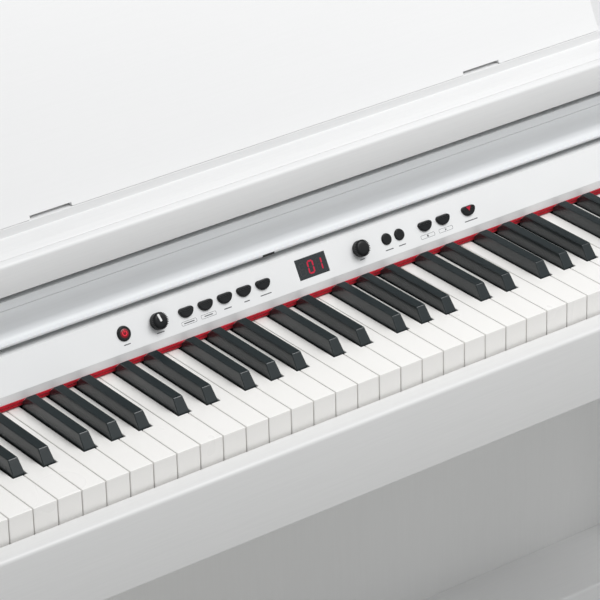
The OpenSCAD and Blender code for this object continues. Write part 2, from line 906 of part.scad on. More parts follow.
module back_panel_screws() {
    color(steel) back_screw_places() union() {
        cylinder(h = back_t, r = screw_r);
        cylinder(h = screw_head_h, r = screw_head_r);
    }
}

keys(0);  // key_c
keys(1);  // key_c_sharp
keys(2);  // key_d
keys(3);  // key_d_sharp
keys(4);  // key_e
keys(5);  // key_f
keys(6);  // key_f_sharp
keys(7);  // key_g
keys(8);  // key_g_sharp
keys(9);  // key_a
keys(10);  // key_a_sharp
keys(11);  // key_b
mirror([1, 0, 0]) side_panel();  // left_side_panel
side_panel();  // right_side_panel
mirror([1, 0, 0]) front_leg();  // left_front_leg
front_leg();  // right_front_leg
mirror([1, 0, 0]) foot();  // left_foot
foot();  // right_foot
foot_glides();
lower_back_panel();
upper_back_panel();
keybed();
key_slip();
cheek_blocks();
key_chassis();
key_pivot_rod();
key_felt_strip();
control_panel();
display_module();
display_window();
round_button(power_x, power_r);  // power_button
knob(volume_x);  // volume_knob
moon_button(mode_x[0]);  // mode_button_1
moon_button(mode_x[1]);  // mode_button_2
moon_button(mode_x[2]);  // mode_button_3
moon_button(mode_x[3]);  // mode_button_4
moon_button(mode_x[4]);  // mode_button_5
knob(data_x);  // data_knob
round_button(function_x, small_r);  // function_button
round_button(select_x, small_r);  // select_button
moon_button(record_x);  // record_button
moon_button(play_x);  // play_button
moon_button(piano_x);  // piano_button
top_board();
fallboard();
fallboard_carriage();
fallboard_rails();
music_rest();
music_rest_hinges();
pedal_box();
pedal(-1);  // soft_pedal
pedal(0);  // sostenuto_pedal
pedal(1);  // sustain_pedal
pedal_pivot_pin();
pedal_support_screw();
speakers();
speaker_grilles();
circuit_boards();
connector_panel();
back_panel_screws();
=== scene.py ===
"""White digital piano on its stand: finishes, small parts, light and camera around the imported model."""
import json
import math

import bmesh
import bpy
from mathutils import Matrix, Vector


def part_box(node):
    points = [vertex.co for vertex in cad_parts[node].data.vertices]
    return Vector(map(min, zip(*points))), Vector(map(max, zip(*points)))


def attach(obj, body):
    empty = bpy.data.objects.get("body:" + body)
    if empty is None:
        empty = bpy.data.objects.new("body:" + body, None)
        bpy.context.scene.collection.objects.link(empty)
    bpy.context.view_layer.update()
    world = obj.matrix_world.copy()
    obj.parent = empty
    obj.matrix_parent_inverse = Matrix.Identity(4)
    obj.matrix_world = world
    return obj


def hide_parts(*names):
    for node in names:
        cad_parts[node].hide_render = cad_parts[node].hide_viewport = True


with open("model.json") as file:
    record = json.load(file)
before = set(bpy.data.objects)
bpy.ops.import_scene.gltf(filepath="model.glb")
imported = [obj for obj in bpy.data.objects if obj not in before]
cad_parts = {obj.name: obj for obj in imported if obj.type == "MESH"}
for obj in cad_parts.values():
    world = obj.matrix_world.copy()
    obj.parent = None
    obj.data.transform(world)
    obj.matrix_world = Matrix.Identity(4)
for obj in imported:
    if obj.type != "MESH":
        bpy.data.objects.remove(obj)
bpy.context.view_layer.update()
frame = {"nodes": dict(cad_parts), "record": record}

MM = 0.001

# --------------------------------------------------------------------------- camera
CAMERA_PLACE = Vector((-1.6383, -2.2725, 2.1540))
CAMERA_AIM = Vector((0.5236, 0.7175, -0.4594))
CAMERA_ROLL = math.radians(-1.54)
CAMERA_LENS = 208.4

camera_data = bpy.data.cameras.new("camera")
camera_data.lens = CAMERA_LENS
camera_data.clip_end = 50
camera = bpy.data.objects.new("camera", camera_data)
aim = CAMERA_AIM.to_track_quat("-Z", "Y").to_matrix() @ Matrix.Rotation(CAMERA_ROLL, 3, "Z")
camera.matrix_world = Matrix.Translation(CAMERA_PLACE) @ aim.to_4x4()
bpy.context.scene.collection.objects.link(camera)
bpy.context.scene.camera = camera
bpy.context.scene.view_settings.view_transform = "Standard"


# --------------------------------------------------------------------------- shader tools
def add(tree, kind, sockets=None, **settings):
    """A node with its settings; sockets maps an input to a value or to another node's output."""
    made = tree.nodes.new(kind)
    for title, value in settings.items():
        setattr(made, title, value)
    for title, value in (sockets or {}).items():
        if isinstance(value, bpy.types.NodeSocket):
            tree.links.new(value, made.inputs[title])
        else:
            made.inputs[title].default_value = value
    return made


def start_group(name, inputs, outputs):
    """An empty shader node group with the named inputs and outputs."""
    tree = bpy.data.node_groups.new(name, "ShaderNodeTree")
    for title, kind in inputs:
        tree.interface.new_socket(title, in_out="INPUT", socket_type="NodeSocket" + kind)
    for title, kind in outputs:
        tree.interface.new_socket(title, in_out="OUTPUT", socket_type="NodeSocket" + kind)
    return tree, tree.nodes.new("NodeGroupInput").outputs, tree.nodes.new("NodeGroupOutput").inputs


def join(tree, **outputs):
    """Links each named output of a group to the value made for it."""
    ends = next(n for n in tree.nodes if n.bl_idname == "NodeGroupOutput").inputs
    for title, value in outputs.items():
        tree.links.new(value, ends[title])
    return tree


def blend_colours(tree, factor, first, second):
    """first where factor is 0, second where it is 1."""
    mixed = add(tree, "ShaderNodeMix", {0: factor, 6: first, 7: second}, data_type="RGBA")
    return mixed.outputs[2]


def spread(tree, value, low, high, to_low=0.0, to_high=1.0):
    """value between low and high, spread over to_low to to_high."""
    return add(tree, "ShaderNodeMapRange", {
        "Value": value, "From Min": low, "From Max": high,
        "To Min": to_low, "To Max": to_high}).outputs[0]


def sum_of(tree, first, second):
    return add(tree, "ShaderNodeMath", {0: first, 1: second}, operation="ADD").outputs[0]


def share_of(tree, first, second):
    return add(tree, "ShaderNodeMath", {0: first, 1: second}, operation="MULTIPLY").outputs[0]


def make_paint_grain():
    """Brushed lacquer over fibre board: fine lines along the grain under a soft cloudiness."""
    tree, given, _ = start_group("paint_grain", [
        ("Place", "Vector"), ("Paint", "Color"), ("Shade", "Color"), ("Stretch", "Vector"),
        ("Sheen", "Float")], [("Colour", "Color"), ("Roughness", "Float"), ("Height", "Float")])
    along = add(tree, "ShaderNodeVectorMath", {0: given["Place"], 1: given["Stretch"]},
                operation="MULTIPLY").outputs[0]
    fibre = add(tree, "ShaderNodeTexNoise", {
        "Vector": along, "Scale": 1.0, "Detail": 5.0, "Roughness": 0.62}).outputs[0]
    cloud = add(tree, "ShaderNodeTexNoise", {
        "Vector": given["Place"], "Scale": 4.0, "Detail": 2.0}).outputs[0]
    lines = spread(tree, fibre, 0.34, 0.68)
    tint = sum_of(tree, share_of(tree, lines, 0.7), spread(tree, cloud, 0.3, 0.7, 0.0, 0.3))
    return join(tree, Colour=blend_colours(tree, tint, given["Paint"], given["Shade"]),
                Roughness=sum_of(tree, given["Sheen"], spread(tree, fibre, 0.3, 0.7, -0.05, 0.07)),
                Height=fibre)


def make_moulded_skin():
    """Moulded plastic: the fine spark-worn skin of the mould and a faint flow of the melt."""
    tree, given, _ = start_group("moulded_skin", [
        ("Place", "Vector"), ("Plastic", "Color"), ("Flow", "Color"), ("Fineness", "Float"),
        ("Sheen", "Float")], [("Colour", "Color"), ("Roughness", "Float"), ("Height", "Float")])
    skin = add(tree, "ShaderNodeTexNoise", {
        "Vector": given["Place"], "Scale": given["Fineness"], "Detail": 3.0}).outputs[0]
    melt = add(tree, "ShaderNodeTexNoise", {
        "Vector": given["Place"], "Scale": 12.0, "Detail": 2.0, "Distortion": 0.6}).outputs[0]
    tint = sum_of(tree, spread(tree, skin, 0.35, 0.65, 0.0, 0.35), spread(tree, melt, 0.3, 0.7, 0.0, 0.5))
    return join(tree, Colour=blend_colours(tree, tint, given["Plastic"], given["Flow"]),
                Roughness=sum_of(tree, given["Sheen"], spread(tree, melt, 0.3, 0.7, -0.04, 0.05)),
                Height=skin)


def make_felt_nap():
    """Pressed wool felt: matted fibres of two tones, the darker one painted into the small low pits between
    them as shade.
    """
    tree, given, _ = start_group("felt_nap", [
        ("Place", "Vector"), ("Wool", "Color"), ("Pit Shade", "Color"), ("Sheen", "Float")],
        [("Colour", "Color"), ("Roughness", "Float"), ("Height", "Float")])
    mat = add(tree, "ShaderNodeTexNoise", {
        "Vector": given["Place"], "Scale": 900.0, "Detail": 4.0, "Roughness": 0.7,
        "Distortion": 1.4}).outputs[0]
    tuft = add(tree, "ShaderNodeTexNoise", {
        "Vector": given["Place"], "Scale": 160.0, "Detail": 2.0}).outputs[0]
    depth = sum_of(tree, share_of(tree, mat, 0.6), share_of(tree, tuft, 0.4))
    # The low pits take the darker colour: painted shade
    pit_shaded = blend_colours(tree, spread(tree, depth, 0.38, 0.62), given["Pit Shade"], given["Wool"])
    return join(tree, Colour=pit_shaded,
                Roughness=sum_of(tree, given["Sheen"], spread(tree, mat, 0.3, 0.7, -0.03, 0.03)),
                Height=depth)


def make_brushed_metal():
    """Metal brushed along one direction: fine scratches that change tone and gloss."""
    tree, given, _ = start_group("brushed_metal", [
        ("Place", "Vector"), ("Metal", "Color"), ("Tarnish", "Color"), ("Stretch", "Vector"),
        ("Sheen", "Float")], [("Colour", "Color"), ("Roughness", "Float"), ("Height", "Float")])
    along = add(tree, "ShaderNodeVectorMath", {0: given["Place"], 1: given["Stretch"]},
                operation="MULTIPLY").outputs[0]
    scratch = add(tree, "ShaderNodeTexNoise", {
        "Vector": along, "Scale": 1.0, "Detail": 4.0, "Roughness": 0.7}).outputs[0]
    stain = add(tree, "ShaderNodeTexNoise", {
        "Vector": given["Place"], "Scale": 35.0, "Detail": 3.0}).outputs[0]
    stained = blend_colours(tree, spread(tree, stain, 0.45, 0.75), given["Metal"], given["Tarnish"])
    return join(tree, Colour=stained,
                Roughness=sum_of(tree, given["Sheen"], spread(tree, scratch, 0.3, 0.7, -0.08, 0.12)),
                Height=scratch)


def make_edge_wear_and_highlight():
    """A broken line of another tone along convex corners: wear from hands and cloths on some finishes, a
    painted highlight on others.
    """
    tree, given, _ = start_group("edge_wear_and_highlight", [
        ("Place", "Vector"), ("Colour", "Color"), ("Wear And Highlight Colour", "Color"), ("Amount", "Float"),
        ("Reach", "Float")], [("Colour", "Color")])
    rounded = add(tree, "ShaderNodeBevel", {"Radius": given["Reach"]}, samples=4).outputs[0]
    flat = add(tree, "ShaderNodeNewGeometry").outputs["Normal"]
    turn = add(tree, "ShaderNodeVectorMath", {0: rounded, 1: flat},
               operation="DOT_PRODUCT").outputs["Value"]
    edge = spread(tree, turn, 0.995, 0.85)
    patch = add(tree, "ShaderNodeTexNoise", {
        "Vector": given["Place"], "Scale": 45.0, "Detail": 3.0}).outputs[0]
    wear_and_highlight_mask = share_of(tree, share_of(tree, edge, spread(tree, patch, 0.35, 0.65)), given["Amount"])
    return join(tree, Colour=blend_colours(tree, wear_and_highlight_mask, given["Colour"], given["Wear And Highlight Colour"]))


def make_flank_mask():
    """1 on the sides and the front of a key, 0 on its matt top, dulled by fingers."""
    tree, given, _ = start_group("flank_mask", [("Level", "Float")], [("Flank", "Float")])
    normal = add(tree, "ShaderNodeNewGeometry").outputs["Normal"]
    rise = add(tree, "ShaderNodeSeparateXYZ", {0: normal}).outputs["Z"]
    return join(tree, Flank=share_of(tree, spread(tree, rise, 0.93, 0.80), given["Level"]))


PAINT_GRAIN = make_paint_grain()
MOULDED_SKIN = make_moulded_skin()
FELT_NAP = make_felt_nap()
BRUSHED_METAL = make_brushed_metal()
EDGE_WEAR_AND_HIGHLIGHT = make_edge_wear_and_highlight()
FLANK_MASK = make_flank_mask()


def surface(name, effect, look, relief, shader_values, wear_and_highlight_edges=None):
    """A material: effect's group gives colour, roughness and relief, and the last argument adds another tone
    along convex edges, wear on some finishes and a painted highlight on others.
    relief is the bump's (strength, distance in metres); the last argument is (colour, amount, reach)."""
    made = bpy.data.materials.new(name)
    made.use_nodes = True
    tree = made.node_tree
    shader = tree.nodes["Principled BSDF"]
    place = add(tree, "ShaderNodeTexCoord").outputs["Object"]
    pattern = add(tree, "ShaderNodeGroup", {"Place": place, **look}, node_tree=effect)
    colour = pattern.outputs["Colour"]
    if wear_and_highlight_edges:
        colour = add(tree, "ShaderNodeGroup", {
            "Place": place, "Colour": colour, "Wear And Highlight Colour": wear_and_highlight_edges[0], "Amount": wear_and_highlight_edges[1],
            "Reach": wear_and_highlight_edges[2]}, node_tree=EDGE_WEAR_AND_HIGHLIGHT).outputs["Colour"]
    strength, distance = relief
    bump = add(tree, "ShaderNodeBump", {
        "Strength": strength, "Distance": distance, "Height": pattern.outputs["Height"]})
    tree.links.new(colour, shader.inputs["Base Color"])
    tree.links.new(pattern.outputs["Roughness"], shader.inputs["Roughness"])
    tree.links.new(bump.outputs[0], shader.inputs["Normal"])
    for title, value in shader_values.items():
        shader.inputs[title].default_value = value
    return made


def lamp(name, colour, core, strength):
    """A lit red plastic, brighter in its grain, that shines by itself."""
    made = surface(name, MOULDED_SKIN, {"Plastic": colour, "Flow": core, "Fineness": 1400.0, "Sheen": 0.3},
                   (0.1, 0.1 * MM), {"Emission Strength": strength})
    tree = made.node_tree
    shader = tree.nodes["Principled BSDF"]
    tree.links.new(shader.inputs["Base Color"].links[0].from_socket, shader.inputs["Emission Color"])
    return made


# --------------------------------------------------------------------------- finishes
ACROSS, ALONG = 620.0, 16.0
WHITE_PAINT = (0.84, 0.84, 0.838, 1)
PAINT_SHADE = (0.805, 0.807, 0.808, 1)
BARE_EDGE = (0.80, 0.79, 0.77, 1)


def lacquer(name, stretch, paint=WHITE_PAINT, shade=PAINT_SHADE):
    return surface(name, PAINT_GRAIN, {
        "Paint": paint, "Shade": shade, "Stretch": stretch, "Sheen": 0.42},
        (0.22, 0.25 * MM), {"Coat Weight": 0.15, "Coat Roughness": 0.3, "Specular IOR Level": 0.4},
        wear_and_highlight_edges=(BARE_EDGE, 0.25, 0.8 * MM))


GRAIN_X = (ALONG, ACROSS, ACROSS)
GRAIN_Y = (ACROSS, ALONG, ACROSS)
GRAIN_Z = (ACROSS, ACROSS, ALONG)
lacquer_x = lacquer("white_lacquer_grain_x", GRAIN_X)
lacquer_y = lacquer("white_lacquer_grain_y", GRAIN_Y)
lacquer_z = lacquer("white_lacquer_grain_z", GRAIN_Z)
# The cover and the key slip are painted darker, the cover also a little bluer, as painted shade, and the back
# panels and the music rest lighter, as painted light: lit and shaded copies of one white lacquer
lacquer_cover_painted_shade = lacquer(
    "white_lacquer_cover_painted_shade", GRAIN_X, (0.765, 0.782, 0.795, 1), (0.74, 0.755, 0.768, 1))
lacquer_slip_painted_shade = lacquer(
    "white_lacquer_slip_painted_shade", GRAIN_X, (0.79, 0.79, 0.785, 1), (0.76, 0.76, 0.755, 1))
lacquer_back_painted_light = lacquer(
    "white_lacquer_back_painted_light", GRAIN_Z, (0.91, 0.91, 0.90, 1), (0.885, 0.885, 0.875, 1))
lacquer_rest_painted_light = lacquer(
    "white_lacquer_rest_painted_light", GRAIN_X, (0.90, 0.90, 0.90, 1), (0.885, 0.885, 0.885, 1))

white_key = surface("white_key_acrylic", MOULDED_SKIN, {
    "Plastic": (0.965, 0.950, 0.925, 1), "Flow": (0.945, 0.93, 0.90, 1), "Fineness": 700.0, "Sheen": 0.3},
    (0.05, 0.05 * MM), {"Coat Weight": 0.35, "Coat Roughness": 0.18, "Specular IOR Level": 0.45})
# A lighter grey along the keys' convex edges: a painted highlight in place of corner glints
black_key = surface("black_key_resin", MOULDED_SKIN, {
    "Plastic": (0.009, 0.015, 0.017, 1), "Flow": (0.013, 0.021, 0.023, 1), "Fineness": 1500.0, "Sheen": 0.38},
    (0.16, 0.06 * MM), {"Specular IOR Level": 0.12, "Coat Roughness": 0.16},
    wear_and_highlight_edges=((0.14, 0.15, 0.155, 1), 0.8, 0.5 * MM))
flank = add(black_key.node_tree, "ShaderNodeGroup", {"Level": 1.0}, node_tree=FLANK_MASK)
black_key.node_tree.links.new(
    flank.outputs[0], black_key.node_tree.nodes["Principled BSDF"].inputs["Coat Weight"])
# A lighter white along the panel's convex edges: a painted highlight in place of softened edges
panel_white = surface("panel_satin_plastic", MOULDED_SKIN, {
    "Plastic": (0.89, 0.895, 0.895, 1), "Flow": (0.87, 0.875, 0.878, 1), "Fineness": 1600.0, "Sheen": 0.45},
    (0.12, 0.06 * MM), {"Specular IOR Level": 0.4},
    wear_and_highlight_edges=((0.93, 0.93, 0.93, 1), 0.4, 0.6 * MM))
control_black = surface("control_black_plastic", MOULDED_SKIN, {
    "Plastic": (0.007, 0.008, 0.009, 1), "Flow": (0.012, 0.013, 0.014, 1), "Fineness": 2200.0, "Sheen": 0.36},
    (0.15, 0.05 * MM), {"Specular IOR Level": 0.3},
    wear_and_highlight_edges=((0.07, 0.075, 0.08, 1), 0.5, 0.4 * MM))
red_felt = surface("red_key_felt", FELT_NAP, {
    "Wool": (0.52, 0.006, 0.022, 1), "Pit Shade": (0.28, 0.002, 0.010, 1), "Sheen": 0.92},
    (0.5, 0.5 * MM), {"Sheen Weight": 0.25, "Sheen Roughness": 0.5, "Specular IOR Level": 0.2})
smoked_window = surface("smoked_window", MOULDED_SKIN, {
    "Plastic": (0.028, 0.034, 0.037, 1), "Flow": (0.034, 0.040, 0.043, 1), "Fineness": 900.0, "Sheen": 0.22},
    (0.03, 0.03 * MM), {"Coat Weight": 0.3, "Coat Roughness": 0.1})
lit_red = lamp("lit_red_segment", (0.36, 0.003, 0.025, 1), (0.42, 0.004, 0.032, 1), 0.6)
unlit_red = surface("unlit_segment", MOULDED_SKIN, {
    "Plastic": (0.033, 0.035, 0.038, 1), "Flow": (0.038, 0.038, 0.042, 1), "Fineness": 1400.0, "Sheen": 0.3},
    (0.05, 0.05 * MM), {})
lamp_red = lamp("lamp_red_lens", (0.15, 0.001, 0.006, 1), (0.19, 0.002, 0.008, 1), 0.3)
lamp_mark = lamp("lamp_red_mark", (0.52, 0.01, 0.03, 1), (0.60, 0.02, 0.04, 1), 0.8)
lamp_triangle = lamp("lamp_red_triangle", (0.30, 0.003, 0.02, 1), (0.36, 0.004, 0.025, 1), 0.6)
mark_white = surface("mark_white_paint", MOULDED_SKIN, {
    "Plastic": (0.88, 0.88, 0.87, 1), "Flow": (0.82, 0.82, 0.81, 1), "Fineness": 1800.0, "Sheen": 0.5},
    (0.1, 0.05 * MM), {})
print_grey = surface("print_grey_ink", MOULDED_SKIN, {
    "Plastic": (0.10, 0.105, 0.11, 1), "Flow": (0.16, 0.165, 0.17, 1), "Fineness": 2600.0, "Sheen": 0.6},
    (0.1, 0.02 * MM), {})
module_black = surface("module_black_plastic", MOULDED_SKIN, {
    "Plastic": (0.02, 0.02, 0.024, 1), "Flow": (0.03, 0.03, 0.034, 1), "Fineness": 1200.0, "Sheen": 0.6},
    (0.2, 0.08 * MM), {})
chassis_grey = surface("chassis_grey_plastic", MOULDED_SKIN, {
    "Plastic": (0.085, 0.095, 0.105, 1), "Flow": (0.11, 0.12, 0.13, 1), "Fineness": 900.0, "Sheen": 0.6},
    (0.25, 0.1 * MM), {})
rubber = surface("black_rubber", MOULDED_SKIN, {
    "Plastic": (0.028, 0.028, 0.028, 1), "Flow": (0.045, 0.044, 0.043, 1), "Fineness": 800.0, "Sheen": 0.82},
    (0.3, 0.12 * MM), {"Specular IOR Level": 0.3})
cone_black = surface("speaker_cone_paper", FELT_NAP, {
    "Wool": (0.035, 0.035, 0.038, 1), "Pit Shade": (0.015, 0.015, 0.017, 1), "Sheen": 0.85},
    (0.35, 0.3 * MM), {})
grille_coat = surface("grille_powder_coat", MOULDED_SKIN, {
    "Plastic": (0.025, 0.025, 0.027, 1), "Flow": (0.04, 0.04, 0.042, 1), "Fineness": 1700.0, "Sheen": 0.55},
    (0.35, 0.1 * MM), {"Specular IOR Level": 0.4}, wear_and_highlight_edges=((0.2, 0.2, 0.2, 1), 0.4, 0.3 * MM))
solder_mask = surface("green_solder_mask", MOULDED_SKIN, {
    "Plastic": (0.012, 0.10, 0.035, 1), "Flow": (0.02, 0.15, 0.05, 1), "Fineness": 500.0, "Sheen": 0.3},
    (0.3, 0.1 * MM), {"Coat Weight": 0.4, "Coat Roughness": 0.2})
connector_black = surface("connector_black_plastic", MOULDED_SKIN, {
    "Plastic": (0.022, 0.022, 0.024, 1), "Flow": (0.032, 0.032, 0.034, 1), "Fineness": 1300.0, "Sheen": 0.5},
    (0.2, 0.08 * MM), {}, wear_and_highlight_edges=((0.12, 0.12, 0.12, 1), 0.4, 0.4 * MM))
brushed_steel = surface("brushed_steel", BRUSHED_METAL, {
    "Metal": (0.60, 0.61, 0.63, 1), "Tarnish": (0.48, 0.48, 0.49, 1), "Stretch": (60.0, 2400.0, 2400.0),
    "Sheen": 0.32}, (0.08, 0.05 * MM), {"Metallic": 1.0})
pedal_brass = surface("polished_brass", BRUSHED_METAL, {
    "Metal": (0.80, 0.58, 0.24, 1), "Tarnish": (0.66, 0.44, 0.16, 1), "Stretch": (2400.0, 60.0, 2400.0),
    "Sheen": 0.2}, (0.06, 0.05 * MM), {"Metallic": 1.0},
    wear_and_highlight_edges=((0.92, 0.74, 0.40, 1), 0.6, 0.6 * MM))

# --------------------------------------------------------------------------- pieces from the model
WELD = 0.01 * MM
FLAT = math.radians(0.4)
SHARP = math.radians(24)


def stand(name, mesh, material, body):
    """A finished mesh as a shown piece that rides on a body."""
    mesh.materials.clear()
    mesh.materials.append(material)
    piece = bpy.data.objects.new(name, mesh)
    bpy.context.scene.collection.objects.link(piece)
    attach(piece, body)
    return piece


def body_of(node):
    return next(b for b, members in frame["record"]["behaviour"]["bodies"].items() if node in members)


def finished(node, material, soften=0.6, segments=2):
    """A welded copy of a CAD node that stands for it, with its edges softened where soften, in
    millimetres, isn't 0. A node full of holes or coves keeps its own faces and edges."""
    source = frame["nodes"][node].data
    mesh = bpy.data.meshes.new(node)
    mesh.from_pydata([v.co for v in source.vertices], [], [p.vertices for p in source.polygons])
    form = bmesh.new()
    form.from_mesh(mesh)
    bmesh.ops.remove_doubles(form, verts=form.verts, dist=WELD)
    if soften:
        bmesh.ops.dissolve_limit(form, angle_limit=FLAT, verts=form.verts, edges=form.edges)
    form.to_mesh(mesh)
    form.free()
    mesh.shade_smooth()
    mesh.set_sharp_from_angle(angle=SHARP)
    piece = stand(node + "_finished", mesh, material, body_of(node))
    if soften:
        edge = piece.modifiers.new("softened edges", "BEVEL")
        edge.width = soften * MM
        edge.segments = segments
        edge.limit_method = "ANGLE"
        edge.angle_limit = SHARP
        edge.use_clamp_overlap = False
        edge.harden_normals = True
    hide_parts(node)
    return piece


WHITE_KEYS = ("key_c", "key_d", "key_e", "key_f", "key_g", "key_a", "key_b")
BLACK_KEYS = ("key_c_sharp", "key_d_sharp", "key_f_sharp", "key_g_sharp", "key_a_sharp")
BUTTONS = ("mode_button_1", "mode_button_2", "mode_button_3", "mode_button_4", "mode_button_5",
           "function_button", "select_button", "record_button", "play_button", "piano_button",
           "power_button")
PEDALS = ("soft_pedal", "sostenuto_pedal", "sustain_pedal")

FINISHES = [
    (WHITE_KEYS, white_key, "white_key_plastic", 0.7, 3),
    (BLACK_KEYS, black_key, "black_key_plastic", 0.9, 3),
    (BUTTONS, control_black, "control_plastic", 0.9, 4),
    (("volume_knob", "data_knob"), control_black, "control_plastic", 0, 0),
    (("top_board", "keybed"), lacquer_x, "white_lacquer", 0.8, 3),
    (("key_slip",), lacquer_slip_painted_shade, "white_lacquer", 0.8, 3),
    (("music_rest",), lacquer_rest_painted_light, "white_lacquer", 0.8, 3),
    (("fallboard",), lacquer_cover_painted_shade, "white_lacquer", 0, 0),
    (("pedal_box",), lacquer_x, "white_lacquer", 0.5, 2),
    (("cheek_blocks",), lacquer_y, "white_lacquer", 1.2, 3),
    (("left_side_panel", "right_side_panel", "left_foot", "right_foot"),
     lacquer_y, "white_lacquer", 1.5, 3),
    (("left_front_leg", "right_front_leg"), lacquer_z, "white_lacquer", 1.5, 3),
    (("lower_back_panel", "upper_back_panel"), lacquer_back_painted_light, "white_lacquer", 0.5, 2),
    (("control_panel",), panel_white, "panel_plastic", 0, 0),
    (("display_window",), smoked_window, "display_red", 0.3, 2),
    (("display_module",), module_black, "module_plastic", 0.4, 2),
    (("key_chassis", "fallboard_carriage"), chassis_grey, "chassis_plastic", 0.4, 2),
    (("fallboard_rails", "key_pivot_rod", "music_rest_hinges", "pedal_pivot_pin", "back_panel_screws"),
     brushed_steel, "steel", 0.2, 2),
    (PEDALS, pedal_brass, "pedal_brass", 0.9, 3),
    (("foot_glides", "pedal_support_screw"), rubber, "glide_rubber", 0.6, 2),
    (("speakers",), cone_black, "speaker_black", 0.4, 2),
    (("speaker_grilles",), grille_coat, "grille_metal", 0.3, 2),
    (("circuit_boards",), solder_mask, "board_green", 0.2, 1),
    (("connector_panel",), connector_black, "connector_plastic", 0.5, 2),
]
for nodes, material, slot, soften, segments in FINISHES:
    for node in nodes:
        finished(node, material, soften, segments)

# --------------------------------------------------------------------------- felt behind the keys
def felt_layers(count=2, cut=30 * MM):
    """Red felt in layers: each strip bulges between its pressed edges, with a slightly wavy front."""
    low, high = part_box("key_felt_strip")
    thick = (high.z - low.z) / count
    steps = int((high.x - low.x) / cut)
    bulge = 0.9 * MM
    form = bmesh.new()
    for layer in range(count):
        foot = low.z + layer * thick
        rings = []
        for i in range(steps + 1):
            x = low.x + (high.x - low.x) * i / steps
            wave = 0.12 * MM * math.sin(x * 61 + layer * 2.1) + 0.08 * MM * math.sin(x * 173 + layer)
            profile = []
            for j in range(7):
                turn = math.pi * j / 6
                profile.append((low.y + bulge * (1 - math.sin(turn)) + 0.2 * MM + wave * math.sin(turn),
                                foot + thick * (0.5 - 0.48 * math.cos(turn))))
            profile += [(high.y, foot + thick * 0.98), (high.y, foot + thick * 0.02)]
            rings.append([form.verts.new((x, y, z)) for y, z in profile])
        for first, second in zip(rings, rings[1:]):
            for j in range(len(first)):
                k = (j + 1) % len(first)
                form.faces.new((first[j], first[k], second[k], second[j]))
        form.faces.new(rings[0][::-1])
        form.faces.new(rings[-1])
    bmesh.ops.recalc_face_normals(form, faces=form.faces)
    mesh = bpy.data.meshes.new("red_felt_strips")
    form.to_mesh(mesh)
    form.free()
    mesh.shade_smooth()
    mesh.set_sharp_from_angle(angle=math.radians(40))
    piece = stand("red_felt_strips", mesh, red_felt, "root")
    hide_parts("key_felt_strip")


felt_layers()

# --------------------------------------------------------------------------- marks and lamps on the panel
PANEL_TILT = math.radians(60.5)
PANEL_SLOPE = 32.3 * MM
LIP = 8 * MM
UP_SLOPE = Vector((0, math.cos(PANEL_TILT), math.sin(PANEL_TILT)))
OUTWARD = Vector((0, -math.sin(PANEL_TILT), math.cos(PANEL_TILT)))
panel_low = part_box("control_panel")[0]
PANEL_MIDDLE = Vector((0, panel_low.y, panel_low.z + LIP)) + UP_SLOPE * PANEL_SLOPE / 2
INK = 0.05  # the printed marks' height over the panel, and their depth in it


def on_panel(x, up, out):
    """A frame on the sloping panel: x to the right, y up the slope, z out of it."""
    place = PANEL_MIDDLE + UP_SLOPE * up + OUTWARD * out
    turn = Matrix((Vector((1, 0, 0)), UP_SLOPE, OUTWARD)).transposed()
    return Matrix.Translation(place + Vector((x, 0, 0))) @ turn.to_4x4()


def oblong(width, height, x=0.0, y=0.0, corner=0.3, steps=4):
    """The outline of a rounded bar, anticlockwise, in millimetres."""
    corner = min(corner, width / 2, height / 2)
    points = []
    for quarter, (sx, sy) in enumerate(((1, 1), (-1, 1), (-1, -1), (1, -1))):
        for step in range(steps + 1):
            angle = math.pi / 2 * (quarter + step / steps)
            points.append((x + sx * (width / 2 - corner) + corner * math.cos(angle),
                           y + sy * (height / 2 - corner) + corner * math.sin(angle)))
    return points


def round_dot(radius, x=0.0, y=0.0, steps=20):
    return [(x + radius * math.cos(2 * math.pi * i / steps), y + radius * math.sin(2 * math.pi * i / steps))
            for i in range(steps)]


def prism(form, outline, place, low, high):
    """Adds an outline in millimetres as a solid between two heights of the frame place."""
    rings = [[form.verts.new(place @ Vector((x * MM, y * MM, z * MM))) for x, y in outline]
             for z in (low, high)]
    form.faces.new(rings[0][::-1])
    form.faces.new(rings[1])
    count = len(outline)
    for i in range(count):
        j = (i + 1) % count
        form.faces.new((rings[0][i], rings[0][j], rings[1][j], rings[1][i]))


def hollow_prism(form, outer, inner, place, low, high):
    """Adds the band between two outlines of as many points as a solid."""
    corners = [[form.verts.new(place @ Vector((x * MM, y * MM, z * MM))) for x, y in outline]
               for outline, z in ((outer, low), (outer, high), (inner, high), (inner, low))]
    count = len(outer)
    for i in range(count):
        j = (i + 1) % count
        for a, b in ((0, 1), (1, 2), (2, 3), (3, 0)):
            form.faces.new((corners[a][i], corners[a][j], corners[b][j], corners[b][i]))


def piece_of(form, name, material, body, smooth=SHARP):
    """Turns a built form into a shown piece."""
    mesh = bpy.data.meshes.new(name)
    form.to_mesh(mesh)
    form.free()
    mesh.shade_smooth()
    mesh.set_sharp_from_angle(angle=smooth)
    return stand(name, mesh, material, body)


def middle(node):
    low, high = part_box(node)
    return (low + high).x / 2 / MM


# Seven-segment digits: number, then the numbers of the lit bars
DIGIT_W, DIGIT_H, BAR = 5.4, 10.9, 1.5
DIGIT_PITCH = 9.2
DIGIT_SHIFT = -1.3
DIGIT_X = middle("display_window") + DIGIT_SHIFT
DIGIT_UP = -0.4
DIGIT_LEAN = 0.05
SEGMENTS = {"top": (0, 1, "flat"), "middle": (0, 0, "flat"), "bottom": (0, -1, "flat"),
            "top_left": (-1, 0.5, "tall"), "top_right": (1, 0.5, "tall"),
            "low_left": (-1, -0.5, "tall"), "low_right": (1, -0.5, "tall")}
LIT = {0: (), 1: ("top", "bottom", "top_left", "top_right", "low_left", "low_right"),
       2: ("top_right", "low_right")}


